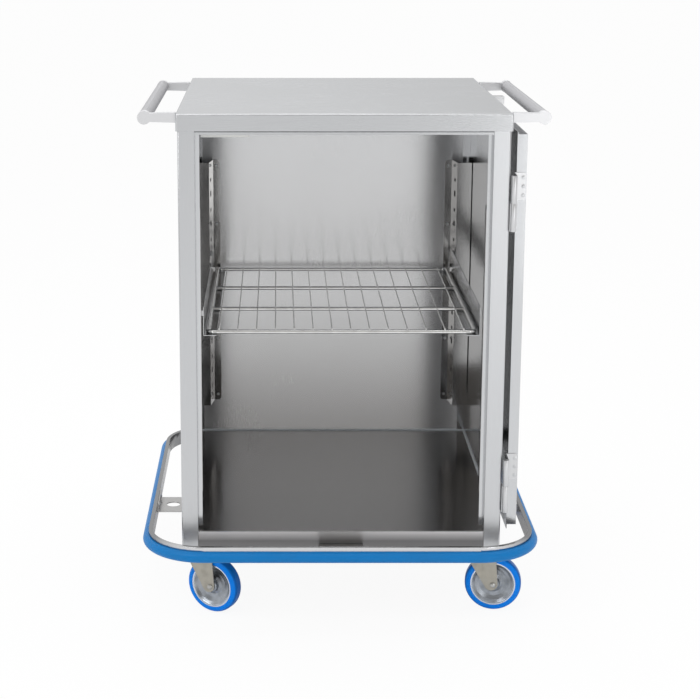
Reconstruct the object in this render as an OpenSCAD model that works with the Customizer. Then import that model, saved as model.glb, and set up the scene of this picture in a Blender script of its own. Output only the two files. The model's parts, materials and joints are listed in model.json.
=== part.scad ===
// Case cart: a stainless cabinet on four swivel casters, with one wire shelf on hooked
// slides, a door hung on offset lift-off hinges and a vinyl-faced bumper ring.
// Origin: on the ground, under the middle of the cabinet. +X is right, +Y is the rear.

/* [Cabinet] */
// Width over the top panel
cab_w = 713; // [640:1:800]
// Depth over the top panel
cab_d = 762; // [700:1:860]
// Height of the top surface above the ground
cab_h = 1135; // [1110:1:1250]
// Thickness of the sheet steel
sheet = 1.5; // [1:0.1:2]
// Height of the rolled edge round the top panel
top_edge_h = 37; // [32:1:50]
// Width of the flange that is turned in under the rolled edge
top_return_w = 28; // [20:1:40]
// Corner radius of the top panel
top_corner_r = 4; // [2:0.5:8]
// Radius of the bend along the top panel's upper edges
top_bend_r = 3; // [2:0.5:6]
// Step from the rolled edge in to the body
body_step = 3.5; // [2:0.5:6]
// Height of the apron, from the cabinet's lower edge to its inner floor
apron_h = 50; // [40:1:60]
// Width of the flange at the rear of each side panel
rear_flange_w = 20; // [12:1:30]
// Outer bend radius of the body's upright corners
body_corner_r = 3; // [2:0.5:5]

/* [Door frame] */
// Width of each front post
post_w = 36; // [30:1:44]
// Depth of the frame in front of the door stop
stop_depth = 25; // [24.5:0.5:30]
// Width of the door stop that shows inside the frame
stop_w = 9.5; // [8:0.5:14]
// Height of the header lip under the rolled edge
header_lip_h = 8; // [5:1:14]
// Height of the seam between the rolled edge and the header lip
header_seam = 2; // [1:0.5:3]
// Gap between the inner floor and the door stops beside the opening
stop_floor_gap = 5; // [3:1:10]
// Gap between the door's lips and the apron and header behind them
lip_gap = 0.5; // [0.4:0.1:2]

/* [Door] */
// Thickness of the door
door_t = 22; // [19:1:22]
// Gap between the door and the frame on the latch side, above and below
door_gap = 3; // [2:0.5:4]
// How far the door's face reaches down past its lower edge
door_lip_low = 10; // [4:0.5:11]
// How far the door's face reaches up past its upper edge
door_lip_high = 5; // [3:0.5:6]
// Depth of the recessed pull
pull_depth = 14; // [10:1:14]
// Height of the mouth of the recessed pull
pull_h = 130; // [90:1:160]
// Width of the mouth of the recessed pull
pull_w = 54; // [40:1:70]
// Width of the pull's rim on the face of the door
pull_rim = 8; // [5:1:12]
// Distance from the door's free edge to the middle of the pull
pull_inset = 62; // [50:1:90]

/* [Hinges] */
// Radius of the hinge knuckles
knuckle_r = 6.5; // [5:0.25:7]
// Radius of the hinge pins
pin_r = 3.2; // [2.5:0.1:4]
// Thickness of the hinge leaves
leaf_t = 2.5; // [2:0.1:2.8]
// Height of each knuckle
knuckle_h = 60; // [45:1:70]
// Height of the lower end of the lower hinge above the inner floor
low_hinge_up = 49; // [30:1:90]
// Distance from the header down to the upper end of the upper hinge
high_hinge_down = 85; // [60:1:140]
// Distance from the body's side out to the hinge axis
hinge_out = 7.5; // [7:0.25:9]
// Distance from the body's front out to the hinge axis
hinge_front = 10.5; // [8.5:0.25:12]

/* [Pilasters and slides] */
// Width of the pilaster's face, from the side panel to its slotted web
pilaster_w = 38; // [30:1:46]
// Depth of the slotted web, front to back
web_depth = 57.5; // [50:0.5:70]
// Slope of the web: how far its wall edge leans in past its face edge
web_lean = 8.6; // [4:0.1:12]
// Width of the flange that fastens a rear pilaster to the back panel
wall_flange_w = 17; // [14:1:24]
// Height of the pilasters' lower end above the inner floor
pilaster_up = 85; // [40:1:120]
// Number of slots in each web
slot_rows = 15; // [12:1:16]
// Distance from slot to slot up the web
slot_pitch = 38.6; // [34:0.1:39.5]
// Height of the tall slots
slot_tall = 14.5; // [13.5:0.5:20]
// Height of the short slots
slot_short = 8.5; // [6:0.5:12]
// Width of the slots, front to back
slot_w = 14; // [8:0.5:18]
// Gap between a rear pilaster's face and the side panel
pilaster_wall_gap = 1.6; // [1:0.1:4]
// Slot row that holds the slides, an odd number
shelf_row = 9; // [3:2:13]
// Height of a slide's upright leg
slide_leg_h = 65; // [50:1:80]
// Width of a slide's ledge
slide_ledge_w = 29; // [22:1:34]

/* [Shelf] */
// Diameter of the frame rods
rod_d = 9; // [6:0.5:10]
// Diameter of the thin deck wires
wire_d = 3; // [2:0.5:4]
// Number of thin deck wires
wire_count = 14; // [8:1:18]
// Distance from the shelf's side in to the outermost deck wire
wire_end_gap = 29; // [20:0.5:45]
// Distance from the door stop back to the front rod
shelf_back = 37; // [32:1:60]
// Distance from the back panel forward to the rear rod
shelf_rear_gap = 23.5; // [15:0.5:60]
// Gap between the shelf's side and the slide's leg
shelf_side_gap = 4; // [2:0.5:8]

/* [Handles] */
// Diameter of the grips
grip_d = 27.5; // [20:0.5:30]
// Wall of the grip tubes
grip_wall = 2; // [1.5:0.5:3]
// Diameter of the round ends of the arms
arm_end_d = 29; // [26:1:34]
// Thickness of the arms, front to back
arm_t = 20; // [14:1:26]
// Height of the arms at the cabinet
arm_root_h = 21; // [16:1:24]
// Height of the arms beside their round ends
arm_neck_h = 18; // [14:1:22]
// Distance from the rolled edge out to the grip's axis
grip_out = 66.3; // [55:0.1:80]
// Distance from the top surface down to the grip's axis
grip_down = 9; // [8:1:14]
// Distance from the front of the top panel back to the front arms
arm_front = 8; // [4:1:30]
// Distance from the rear of the top panel forward to the rear arms
arm_rear = 112; // [60:1:250]

/* [Bumper] */
// Distance from the top panel's side edge out to the metal face of the bumper
rail_out_side = 74; // [62:1:80]
// Distance from the top panel's front or rear edge out to the metal face of the bumper
rail_out_end = 70; // [62:1:80]
// Depth of the bumper rail, inner face to outer face
rail_t = 9; // [7:1:12]
// Thickness of the rail's web and lower lip
rail_web = 3; // [2:0.5:4]
// Height of the rail
rail_h = 35.5; // [30:0.5:42]
// Height of the rail's upper lip
rail_lip_h = 9.5; // [6:0.5:11]
// Outer corner radius of the rail
rail_r = 128; // [90:1:140]
// How far the vinyl insert bulges past the rail
bulge = 13; // [8:0.5:15]
// Height of the rail's upper edge below the inner floor
rail_below_floor = 10; // [8:1:16]
// Width of the bumper brackets
bracket_w = 98; // [70:1:120]
// Thickness of the bumper brackets
bracket_t = 3; // [2:0.5:4]
// Height of the brackets' upright flanges
bracket_flange_h = 18; // [16:1:18]
// Diameter of the hole in each bracket
bracket_hole_d = 32; // [20:1:40]
// Distance from the front of the top panel to the middle of the side brackets
side_bracket_back = 266; // [150:1:500]

/* [Casters] */
// Diameter of the wheels
wheel_d = 127; // [120:1:130]
// Width of the tyres
tyre_w = 32; // [28:1:34]
// Diameter of the wheels' metal centres
hub_d = 101; // [96:1:104]
// Radius of the tyres' shoulders
tyre_shoulder = 10; // [6:0.5:12]
// Height from the ground to the casters' mounting face
caster_h = 156; // [153:1:165]
// Distance from the swivel axis to the axle
trail = 35; // [30:1:42]
// Distance from the top panel's side edge in to the swivel axis
swivel_side = 43; // [43:0.5:60]
// Distance from the top panel's front or rear edge in to the swivel axis
swivel_end = 68; // [60:1:75]
// Radius of the axle bolts
axle_r = 4; // [3.5:0.1:5]
// Thickness of the fork legs
fork_t = 3; // [2.5:0.1:3.5]
// Heading of the front left wheel from +X
heading_fl = -29; // [-180:0.5:180]
// Heading of the front right wheel from +X
heading_fr = -8; // [-180:0.5:180]
// Heading of the rear left wheel from +X
heading_rl = -24; // [-180:0.5:180]
// Heading of the rear right wheel from +X
heading_rr = -6; // [-180:0.5:180]

/* [Hidden] */
$fn = 48;

// Colours, as the photograph shows them
STEEL = [0.78, 0.79, 0.80];
BRIGHT = [0.90, 0.90, 0.91];
GRIP_GREY = [0.70, 0.71, 0.73];
BUMPER_BLUE = [0.06, 0.42, 0.70];
TYRE_BLUE = [0.02, 0.33, 0.78];
CAST_GREY = [0.62, 0.64, 0.67];
FORK_STEEL = [0.66, 0.64, 0.60];
WHITE = [0.95, 0.95, 0.95];

// Clearances
eps = 0.01;
run_gap = 0.3;
turn_gap = 0.05;
hole_gap = 0.3;

// The body inside the rolled edge
body_x = cab_w / 2 - body_step;
body_y = cab_d / 2 - body_step;
base_z = caster_h;
floor_z = base_z + apron_h;
floor_under = floor_z - sheet;
body_top = cab_h - top_edge_h;
wall_x = body_x - sheet;
front_y = -body_y;
back_inner_y = body_y - sheet;

// The door frame
frame_x = body_x - post_w;
stop_y = front_y + stop_depth;
stop_x = frame_x - stop_w;
header_z = body_top - header_lip_h;
lip_back_y = front_y + sheet + lip_gap;

// The hinge axis and the door when it is shut
pivot_x = body_x + hinge_out;
pivot_y = front_y - hinge_front;
hinge_gap = leaf_t + 1;
door_hx = frame_x - hinge_gap;
door_lx = -frame_x + door_gap;
door_z0 = floor_z + door_gap;
door_z1 = header_z - door_gap;
door_in_y = front_y + door_t;
door_open_angle = 270;
low_hinge_z = floor_z + low_hinge_up;
high_hinge_z = header_z - high_hinge_down - 2 * knuckle_h - run_gap;
hinge_zs = [low_hinge_z, high_hinge_z];
leaf_plate_len = 40;
leaf_corner_r = 4;
hinge_screw_r = 2.2;
frame_screw_in = 9;
door_screw_in = 15;

// Pilasters and slides
web_x = wall_x - pilaster_w;
web_wall_x = web_x - web_lean;
web_stop_x = web_wall_x + 2;
stop_flange_w = 9;
rear_face_y = back_inner_y - web_depth;
front_face_y = stop_y + web_depth - sheet;
pilaster_z0 = floor_z + pilaster_up;
slot_first = 49;
slot_last = 46.5;
tall_slot_rise = 3.5;
pilaster_h = slot_first + (slot_rows - 1) * slot_pitch + slot_last;
pilaster_corner_r = 8;
front_web_x = web_x - 2;
slot_mid_y = web_depth * 0.37;
web_x_at_slot = web_x - web_lean * slot_mid_y / web_depth;
slide_x = web_wall_x - 1;
slide_in_x = slide_x - sheet;
hook_row_z = pilaster_z0 + slot_first + shelf_row * slot_pitch + tall_slot_rise;
leg_below_hook = 51;
ledge_z = hook_row_z - leg_below_hook;
ledge_top = ledge_z + sheet;
slide_past_hook = 7;
slide_y0 = front_face_y - slot_mid_y - slide_past_hook;
slide_y1 = rear_face_y + slot_mid_y + slide_past_hook;
hook_h = 12;
hook_drop = 6;
hook_t = 3.2;

// The shelf
shelf_half = slide_in_x - shelf_side_gap;
rod_r = rod_d / 2;
rod_z = ledge_top + run_gap + rod_r;
shelf_y0 = stop_y + shelf_back + rod_r;
shelf_y1 = back_inner_y - shelf_rear_gap - rod_r;
wire_pitch = 2 * (shelf_half - wire_end_gap) / (wire_count - 1);
corner_bend = 12;
wire_weld = 0.4;

// Handles
grip_z = cab_h - grip_down;
grip_x = cab_w / 2 + grip_out;
front_arm_y = -cab_d / 2 + arm_front;
rear_arm_y = cab_d / 2 - arm_rear - arm_t;

// The bumper ring
rail_z1 = floor_z - rail_below_floor;
rail_z0 = rail_z1 - rail_h;
insert_z0 = rail_z0 + rail_web;
insert_z1 = rail_z1 - rail_lip_h - 0.2;
insert_mid_z = (rail_z0 + 1 + insert_z1) / 2;
insert_half = insert_z1 - insert_mid_z;
bulge_r = (insert_half * insert_half + bulge * bulge) / (2 * bulge);
ring_x = cab_w / 2 + rail_out_side;
ring_y = cab_d / 2 + rail_out_end;
bracket_up = 12.5;
bracket_z = rail_z0 + bracket_up;
side_bracket_y = -cab_d / 2 + side_bracket_back;
screw_spread = 0.32;

// Casters
swivel_x = cab_w / 2 - swivel_side;
swivel_y = cab_d / 2 - swivel_end;
wheel_r = wheel_d / 2;
plate_t = 3;
plate_w = 76;
plate_l = 95;
bolt_dx = 56;
bolt_dy = 74;
caster_bolt_r = 4;
race_r = 30;
race_h = 5.4;
crown_r = 31;
crown_h = 6;
crown_z1 = caster_h - plate_t - race_h - run_gap;
crown_z0 = crown_z1 - crown_h;
deck_z = crown_z0 - fork_t;
kingpin_r = 5;
kingpin_head_r = 9;
leg_in = tyre_w / 2 + 3;
leg_out = leg_in + fork_t;
leg_end_r = 15;
leg_end_back = 4;
leg_end_up = 1.5;
leg_end = [trail - leg_end_back, wheel_r + leg_end_up];
leg_back_u = -19;
leg_shoulder_h = 18;
leg_back = [leg_back_u, deck_z - leg_shoulder_h];
leg_past_axle = 5;
leg_front = [trail + leg_past_axle, deck_z];
leg_crease = 9.5;
leg_bend = 6;
channel_t = 3;
channel_in = 50;
channel_y0 = swivel_y - channel_in;
channel_y1 = body_y - 2 * sheet - 1;

// Casters in order: front left, front right, rear left, rear right
CASTERS = [
    [-swivel_x, -swivel_y, heading_fl],
    [swivel_x, -swivel_y, heading_fr],
    [-swivel_x, swivel_y, heading_rl],
    [swivel_x, swivel_y, heading_rr]];

// A box from its lowest corner to its highest
module span(a, b) {
    translate(a) cube(b - a);
}

// A rectangle about the origin with round corners
module round_rect(w, d, r) {
    square([w - 2 * r, d], center = true);
    square([w, d - 2 * r], center = true);
    for (sx = [-1, 1], sy = [-1, 1])
        translate([sx * (w / 2 - r), sy * (d / 2 - r)]) circle(r);
}

// The same shape on the left and the right
module both_sides() {
    children();
    mirror([1, 0, 0]) children();
}

// Everything drawn with the door shut is turned open about the hinge axis
module door_open() {
    translate([pivot_x, pivot_y, 0])
        rotate([0, 0, door_open_angle])
            translate([-pivot_x, -pivot_y, 0]) children();
}

// Front view of a block with round upper corners, standing on the origin
module arch(w, h, r) {
    translate([-w / 2, 0]) square([w, h - r]);
    translate([-w / 2 + r, 0]) square([w - 2 * r, h]);
    for (s = [-1, 1]) translate([s * (w / 2 - r), h - r]) circle(r);
}

// A block with round upright corners whose four upper edges are bent with a radius
module bent_block(w, d, h, corner_r, bend_r) {
    intersection() {
        linear_extrude(h) round_rect(w, d, corner_r);
        translate([0, d / 2, 0]) rotate([90, 0, 0]) linear_extrude(d) arch(w, h, bend_r);
        translate([-w / 2, 0, 0]) rotate([90, 0, 90]) linear_extrude(w) arch(d, h, bend_r);
    }
}

// Top panel: one sheet bent down into a rolled edge, with a flange turned in below
module top_panel() {
    in_w = cab_w - 2 * sheet;
    in_d = cab_d - 2 * sheet;
    color(STEEL) difference() {
        translate([0, 0, body_top]) bent_block(cab_w, cab_d, top_edge_h, top_corner_r, top_bend_r);
        translate([0, 0, body_top + sheet])
            bent_block(in_w, in_d, top_edge_h - 2 * sheet, top_corner_r - sheet / 2, top_bend_r - sheet / 2);
        translate([0, 0, body_top - eps])
            linear_extrude(sheet + 2 * eps)
                square([cab_w - 2 * top_return_w, cab_d - 2 * top_return_w], center = true);
    }
}

// Header: a lip behind the door's upper lip, folded back to a ledge for the catch, and an upstand
module header_rail() {
    color(STEEL) {
        span([-frame_x, lip_back_y, header_z], [frame_x, lip_back_y + sheet, body_top - header_seam]);
        span([-frame_x, lip_back_y, header_z], [frame_x, stop_y + catch_d, header_z + sheet]);
        span([-frame_x, stop_y - sheet, header_z], [frame_x, stop_y, body_top]);
    }
}

// Plan of the right side panel: rear flange, wall, post, return and door stop
module side_plan() {
    intersection() {
        union() {
            translate([wall_x, front_y]) square([sheet, 2 * body_y - sheet]);
            translate([body_x - rear_flange_w, body_y - 2 * sheet]) square([rear_flange_w, sheet]);
            translate([frame_x, front_y]) square([post_w, sheet]);
            translate([frame_x, front_y]) square([sheet, stop_depth]);
            translate([stop_x, stop_y - sheet]) square([stop_w + sheet, sheet]);
        }
        round_rect(2 * body_x, 2 * body_y, body_corner_r);
    }
}

module side_panel() {
    difference() {
        translate([0, 0, base_z]) linear_extrude(body_top - base_z) side_plan();
        span([stop_x - 1, stop_y - 2 * sheet, base_z - 1], [frame_x, stop_y + 1, floor_z + stop_floor_gap]);
        span([stop_x - 1, front_y + sheet, base_z - 1], [frame_x + 2 * sheet, stop_y + 1, floor_under]);
        span([stop_x - 1, stop_y - 2 * sheet, header_z], [frame_x, stop_y + 1, body_top + 1]);
    }
}

module right_side_panel() {
    color(STEEL) side_panel();
}

module left_side_panel() {
    color(STEEL) mirror([1, 0, 0]) side_panel();
}

module back_panel() {
    color(STEEL)
        span([-body_x + body_corner_r, back_inner_y, base_z], [body_x - body_corner_r, body_y, body_top]);
}

// Floor pan: the inner floor and the apron that hangs from its front edge, behind the door's lip
module floor_pan() {
    color(STEEL) {
        span([-frame_x, lip_back_y, floor_under], [frame_x, stop_y, floor_z]);
        span([-wall_x, stop_y, floor_under], [wall_x, back_inner_y - sheet, floor_z]);
        span([-frame_x, back_inner_y - sheet - eps, floor_under],
             [frame_x, back_inner_y, floor_z]);
        span([-frame_x, lip_back_y, base_z], [frame_x, lip_back_y + sheet, floor_z]);
    }
}

// Channel across the underside at the rear that carries one pair of casters
module base_channel() {
    difference() {
        span([-wall_x, channel_y0, base_z], [wall_x, channel_y1, floor_under]);
        span([-wall_x - 1, channel_y0 + channel_t, base_z + channel_t],
             [wall_x + 1, channel_y1 - channel_t, floor_under + 1]);
        for (sx = [-1, 1]) caster_bolt_spots(sx * swivel_x, swivel_y)
            translate([0, 0, base_z - 1]) cylinder(r = caster_bolt_r + hole_gap, h = channel_t + 2);
    }
}

module rear_base_channel() {
    color(STEEL) base_channel();
}

module front_base_channel() {
    color(STEEL) mirror([0, 1, 0]) base_channel();
}

// Slots up a web, short and tall by turns
module web_slots(mid_y) {
    for (i = [0 : slot_rows - 1]) {
        is_tall = i % 2 == 1;
        h = is_tall ? slot_tall : slot_short;
        z = pilaster_z0 + slot_first + i * slot_pitch + (is_tall ? tall_slot_rise : 0);
        span([web_wall_x - 5, mid_y - slot_w / 2, z - h / 2],
             [web_x + 5, mid_y + slot_w / 2, z + h / 2]);
    }
}

// Rear pilaster on the right: face, slanted slotted web and a flange on the back panel
module rear_pilaster() {
    difference() {
        union() {
            translate([0, 0, pilaster_z0]) linear_extrude(pilaster_h) {
                translate([web_x, rear_face_y]) square([pilaster_w - pilaster_wall_gap, sheet]);
                polygon([
                    [web_x, rear_face_y],
                    [web_x + sheet, rear_face_y],
                    [web_wall_x + sheet, back_inner_y],
                    [web_wall_x, back_inner_y]]);
            }
            intersection() {
                span([web_wall_x - wall_flange_w, back_inner_y - sheet, pilaster_z0],
                     [web_wall_x + sheet, back_inner_y, pilaster_z0 + pilaster_h]);
                translate([web_wall_x, back_inner_y + 1, pilaster_z0 + pilaster_h / 2])
                    rotate([90, 0, 0])
                        linear_extrude(sheet + 2)
                            round_rect(2 * wall_flange_w, pilaster_h, pilaster_corner_r);
            }
        }
        web_slots(rear_face_y + slot_mid_y);
    }
}

// Front pilaster on the right, behind the door stop, with its face to the rear
module front_pilaster() {
    difference() {
        translate([0, 0, pilaster_z0]) linear_extrude(pilaster_h) {
            translate([front_web_x, front_face_y - sheet]) square([wall_x - front_web_x, sheet]);
            polygon([
                [web_stop_x, stop_y],
                [web_stop_x + sheet, stop_y],
                [front_web_x + sheet, front_face_y],
                [front_web_x, front_face_y]]);
            translate([web_stop_x, stop_y]) square([stop_flange_w, sheet]);
        }
        web_slots(front_face_y - slot_mid_y);
    }
}

module rear_right_pilaster() {
    color(STEEL) rear_pilaster();
}

module rear_left_pilaster() {
    color(STEEL) mirror([1, 0, 0]) rear_pilaster();
}

module front_right_pilaster() {
    color(STEEL) front_pilaster();
}

module front_left_pilaster() {
    color(STEEL) mirror([1, 0, 0]) front_pilaster();
}

// Pan-head screws that hold the rear pilasters to the back panel
pilaster_screw_count = 5;
pilaster_screw_end = 15;

module pilaster_screws() {
    step = (pilaster_h - 2 * pilaster_screw_end) / (pilaster_screw_count - 1);
    color(BRIGHT) both_sides()
        for (i = [0 : pilaster_screw_count - 1])
            translate([web_wall_x - wall_flange_w / 2, back_inner_y - sheet,
                       pilaster_z0 + pilaster_screw_end + i * step])
                rotate([90, 0, 0]) cylinder(r1 = 4, r2 = 2.6, h = 2);
}

// A hook bent out from the slide's end, through a slot and down behind the web
module slide_hook(y) {
    z0 = hook_row_z - slot_tall / 2;
    out_x = web_x_at_slot + sheet + 1;
    translate([0, y + sheet / 2, 0]) rotate([90, 0, 0]) linear_extrude(sheet)
        polygon([
            [slide_x - sheet, z0],
            [out_x, z0],
            [out_x, z0 - hook_drop],
            [out_x + hook_t, z0 - hook_drop],
            [out_x + hook_t, z0 + hook_h],
            [slide_x - sheet, z0 + hook_h]]);
}

// Slide on the right: an upright leg hooked to both pilasters and a ledge for the shelf
module shelf_slide() {
    span([slide_in_x, slide_y0, ledge_z], [slide_x, slide_y1, ledge_z + slide_leg_h]);
    span([slide_x - slide_ledge_w, slide_y0, ledge_z], [slide_x, slide_y1, ledge_top]);
    slide_hook(front_face_y - slot_mid_y);
    slide_hook(rear_face_y + slot_mid_y);
}

module right_shelf_slide() {
    color(BRIGHT) shelf_slide();
}

module left_shelf_slide() {
    color(BRIGHT) mirror([1, 0, 0]) shelf_slide();
}

// A rod along X or along Y
module rod_x(x0, x1, y, z, r) {
    translate([x0, y, z]) rotate([0, 90, 0]) cylinder(r = r, h = x1 - x0);
}

module rod_y(x, y0, y1, z, r) {
    translate([x, y0, z]) rotate([-90, 0, 0]) cylinder(r = r, h = y1 - y0);
}

// Wire shelf: a bent rod frame, two cross rods and a deck of thin wires welded on top
module wire_shelf() {
    side_x = shelf_half - rod_r;
    bend_x = side_x - corner_bend;
    bend_y0 = shelf_y0 + corner_bend;
    bend_y1 = shelf_y1 - corner_bend;
    third = (shelf_y1 - shelf_y0) / 3;
    wire_z = rod_z + rod_r + wire_d / 2 - wire_weld;
    color(BRIGHT) {
        for (y = [shelf_y0, shelf_y1]) rod_x(-bend_x, bend_x, y, rod_z, rod_r);
        for (s = [-1, 1]) rod_y(s * side_x, bend_y0, bend_y1, rod_z, rod_r);
        for (c = [[bend_x, bend_y1, 0], [-bend_x, bend_y1, 90],
                  [-bend_x, bend_y0, 180], [bend_x, bend_y0, 270]])
            translate([c[0], c[1], rod_z]) rotate([0, 0, c[2]])
                rotate_extrude(angle = 90) translate([corner_bend, 0]) circle(rod_r);
        for (i = [1, 2]) rod_x(-side_x, side_x, shelf_y0 + i * third, rod_z, rod_r);
        for (i = [0 : wire_count - 1])
            rod_y((i - (wire_count - 1) / 2) * wire_pitch, shelf_y0 - 1, shelf_y1 + 1, wire_z, wire_d / 2);
    }
}

// Magnetic catch under the header, by the latch side, and its plate on the door
catch_w = 104;
catch_x0 = -stop_x + 3;
catch_h = 8;
catch_d = 24;
catch_ear = 5;
strike_t = 0.8;

module magnetic_catch() {
    color(WHITE) {
        span([catch_x0, stop_y, header_z - catch_h], [catch_x0 + catch_w, stop_y + catch_d, header_z]);
        span([catch_x0 + catch_ear, stop_y - sheet + 0.2, header_z - catch_h],
             [catch_x0 + catch_w - catch_ear, stop_y + 1, header_z - 2]);
    }
}

module strike_plate() {
    color(BRIGHT) door_open()
        span([catch_x0, door_in_y, header_z - catch_h - 2],
             [catch_x0 + catch_w, door_in_y + strike_t, door_z1 - 1]);
}

// Hold-open catch at the middle of the right side: a hood with a magnet over the door's edge
holdback_w = 30;
holdback_top = cab_h - 4;
holdback_h = 17;
holdback_cover = 0.55;
holdback_out = hinge_out + hinge_front - body_step + holdback_cover * door_t;
holdback_wall = 2;
magnet_w = 12;
magnet_gap = 1.5;

module holdback_bracket() {
    x0 = cab_w / 2;
    x1 = x0 + holdback_out;
    color(BRIGHT) difference() {
        span([x0, -holdback_w / 2, holdback_top - holdback_h], [x1, holdback_w / 2, holdback_top]);
        span([x0 + holdback_wall, -holdback_w / 2 + holdback_wall, holdback_top - holdback_h - 1],
             [x1 - holdback_wall, holdback_w / 2 - holdback_wall, holdback_top - holdback_wall]);
    }
}

module holdback_magnet() {
    x1 = cab_w / 2 + holdback_out - holdback_wall;
    half_w = holdback_w / 2 - 2 * holdback_wall;
    color(WHITE)
        span([x1 - magnet_w, -half_w, door_z1 + door_lip_high + magnet_gap],
             [x1, half_w, holdback_top - holdback_wall]);
}

// A hinge plate towards +Y, with two round corners at its far end
module leaf_plate(reach) {
    in_y = reach - leaf_corner_r;
    rotate([90, 0, 90]) linear_extrude(leaf_t) {
        square([in_y, knuckle_h]);
        translate([0, leaf_corner_r]) square([reach, knuckle_h - 2 * leaf_corner_r]);
        for (z = [leaf_corner_r, knuckle_h - leaf_corner_r]) translate([in_y, z]) circle(leaf_corner_r);
    }
}

// Frame leaf: a knuckle at the corner of the cabinet and a plate along its side
module frame_leaf(z) {
    difference() {
        union() {
            translate([pivot_x, pivot_y, z]) cylinder(r = knuckle_r, h = knuckle_h);
            translate([body_x, pivot_y, z]) leaf_plate(leaf_plate_len);
        }
        translate([pivot_x, pivot_y, z - 1]) cylinder(r = pin_r, h = knuckle_h + 2);
    }
}

module lower_frame_leaf() {
    color(BRIGHT) frame_leaf(low_hinge_z);
}

module upper_frame_leaf() {
    color(BRIGHT) frame_leaf(high_hinge_z);
}

module hinge_pins() {
    color(BRIGHT) for (z = hinge_zs)
        translate([pivot_x, pivot_y, z]) cylinder(r = pin_r, h = 2 * knuckle_h - 4);
}

// Countersunk screws in the leaves, in a row up each leaf
module screw_row(z) {
    for (i = [-1, 0, 1]) translate([0, 0, z + knuckle_h / 2 + i * knuckle_h * screw_spread]) children();
}

module hinge_frame_screws() {
    color(BRIGHT) for (z = hinge_zs) screw_row(z)
        translate([body_x + leaf_t, pivot_y + leaf_plate_len - frame_screw_in, 0])
            rotate([0, 90, 0]) cylinder(r1 = 2 * hinge_screw_r, r2 = hinge_screw_r, h = 1);
}

// Door leaf, drawn shut: an arm across the post and a plate on the door's hinge edge
module door_leaf(z) {
    z0 = z + knuckle_h + run_gap;
    arm_y0 = pivot_y + knuckle_r - leaf_t;
    difference() {
        union() {
            translate([pivot_x, pivot_y, z0]) cylinder(r = knuckle_r, h = knuckle_h);
            span([door_hx, arm_y0, z0], [pivot_x, arm_y0 + leaf_t, z0 + knuckle_h]);
            translate([door_hx, arm_y0, z0]) leaf_plate(door_in_y - 2 - arm_y0);
        }
        translate([pivot_x, pivot_y, z0 - 1]) cylinder(r = pin_r + turn_gap, h = knuckle_h - 1);
    }
}

module lower_door_leaf() {
    color(BRIGHT) door_open() door_leaf(low_hinge_z);
}

module upper_door_leaf() {
    color(BRIGHT) door_open() door_leaf(high_hinge_z);
}

module hinge_door_screws() {
    color(BRIGHT) door_open() for (z = hinge_zs) screw_row(z + knuckle_h + run_gap)
        translate([door_hx + leaf_t, front_y + door_screw_in, 0])
            rotate([0, 90, 0]) cylinder(r1 = 2 * hinge_screw_r, r2 = hinge_screw_r, h = 0.5);
}

// Outer skin of the door: a face with lips above and below, four edges turned in, and a mouth for the pull
module door_outer_skin() {
    color(STEEL) door_open() difference() {
        union() {
            span([door_lx, front_y, door_z0], [door_hx, door_in_y, door_z1]);
            span([door_lx, front_y, door_z0 - door_lip_low],
                 [door_hx, front_y + sheet, door_z1 + door_lip_high]);
        }
        span([door_lx + sheet, front_y + sheet, door_z0 + sheet],
             [door_hx - sheet, door_in_y + 1, door_z1 - sheet]);
        translate([pull_x, front_y - 1, pull_z]) rotate([-90, 0, 0])
            linear_extrude(sheet + 2) round_rect(pull_w, pull_h, pull_r);
    }
}

// Inner skin: a shallow pan that drops in between the turned edges
module door_inner_skin() {
    in_t = 10;
    color(STEEL) door_open() difference() {
        span([door_lx + sheet, door_in_y - in_t, door_z0 + sheet],
             [door_hx - sheet, door_in_y, door_z1 - sheet]);
        span([door_lx + 2 * sheet, door_in_y - in_t - 1, door_z0 + 2 * sheet],
             [door_hx - 2 * sheet, door_in_y - sheet, door_z1 - 2 * sheet]);
    }
}

// Recessed pull: a cup in the door with a rim on its face
pull_r = 14;
pull_wall = 1.2;
pull_rim_t = 1.5;
pull_x = door_lx + pull_inset;
pull_z = (door_z0 + door_z1) / 2;

module door_pull() {
    color(BRIGHT) door_open() translate([pull_x, front_y, pull_z]) rotate([-90, 0, 0])
        difference() {
            union() {
                translate([0, 0, -pull_rim_t]) linear_extrude(pull_rim_t)
                    round_rect(pull_w + 2 * pull_rim, pull_h + 2 * pull_rim, pull_r + pull_rim);
                translate([0, 0, -eps]) linear_extrude(pull_depth + pull_wall)
                    round_rect(pull_w - hole_gap, pull_h - hole_gap, pull_r);
            }
            translate([0, 0, -pull_rim_t - 1]) linear_extrude(pull_depth + pull_rim_t + 1)
                round_rect(pull_w - 2 * pull_wall, pull_h - 2 * pull_wall, pull_r - pull_wall);
        }
}

// Handle arm, front view: a tapered bar from the rolled edge to a round end
module arm_plan() {
    polygon([
        [cab_w / 2, -arm_root_h / 2],
        [grip_x - arm_end_d / 3, -arm_neck_h / 2],
        [grip_x - arm_end_d / 3, arm_neck_h / 2],
        [cab_w / 2, arm_root_h / 2]]);
    translate([grip_x - arm_end_d / 3 - eps, -arm_neck_h / 2]) square([arm_end_d / 3, arm_neck_h]);
    translate([grip_x, 0]) circle(arm_end_d / 2);
}

module handle_arms() {
    for (y = [front_arm_y, rear_arm_y])
        translate([0, y + arm_t, grip_z]) rotate([90, 0, 0]) linear_extrude(arm_t) arm_plan();
}

module right_handle_arms() {
    color(BRIGHT) handle_arms();
}

module left_handle_arms() {
    color(BRIGHT) mirror([1, 0, 0]) handle_arms();
}

module handle_grip() {
    difference() {
        rod_y(grip_x, front_arm_y + arm_t, rear_arm_y, grip_z, grip_d / 2);
        rod_y(grip_x, front_arm_y + arm_t - 1, rear_arm_y + 1, grip_z, grip_d / 2 - grip_wall);
    }
}

module right_handle_grip() {
    color(GRIP_GREY) handle_grip();
}

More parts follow.
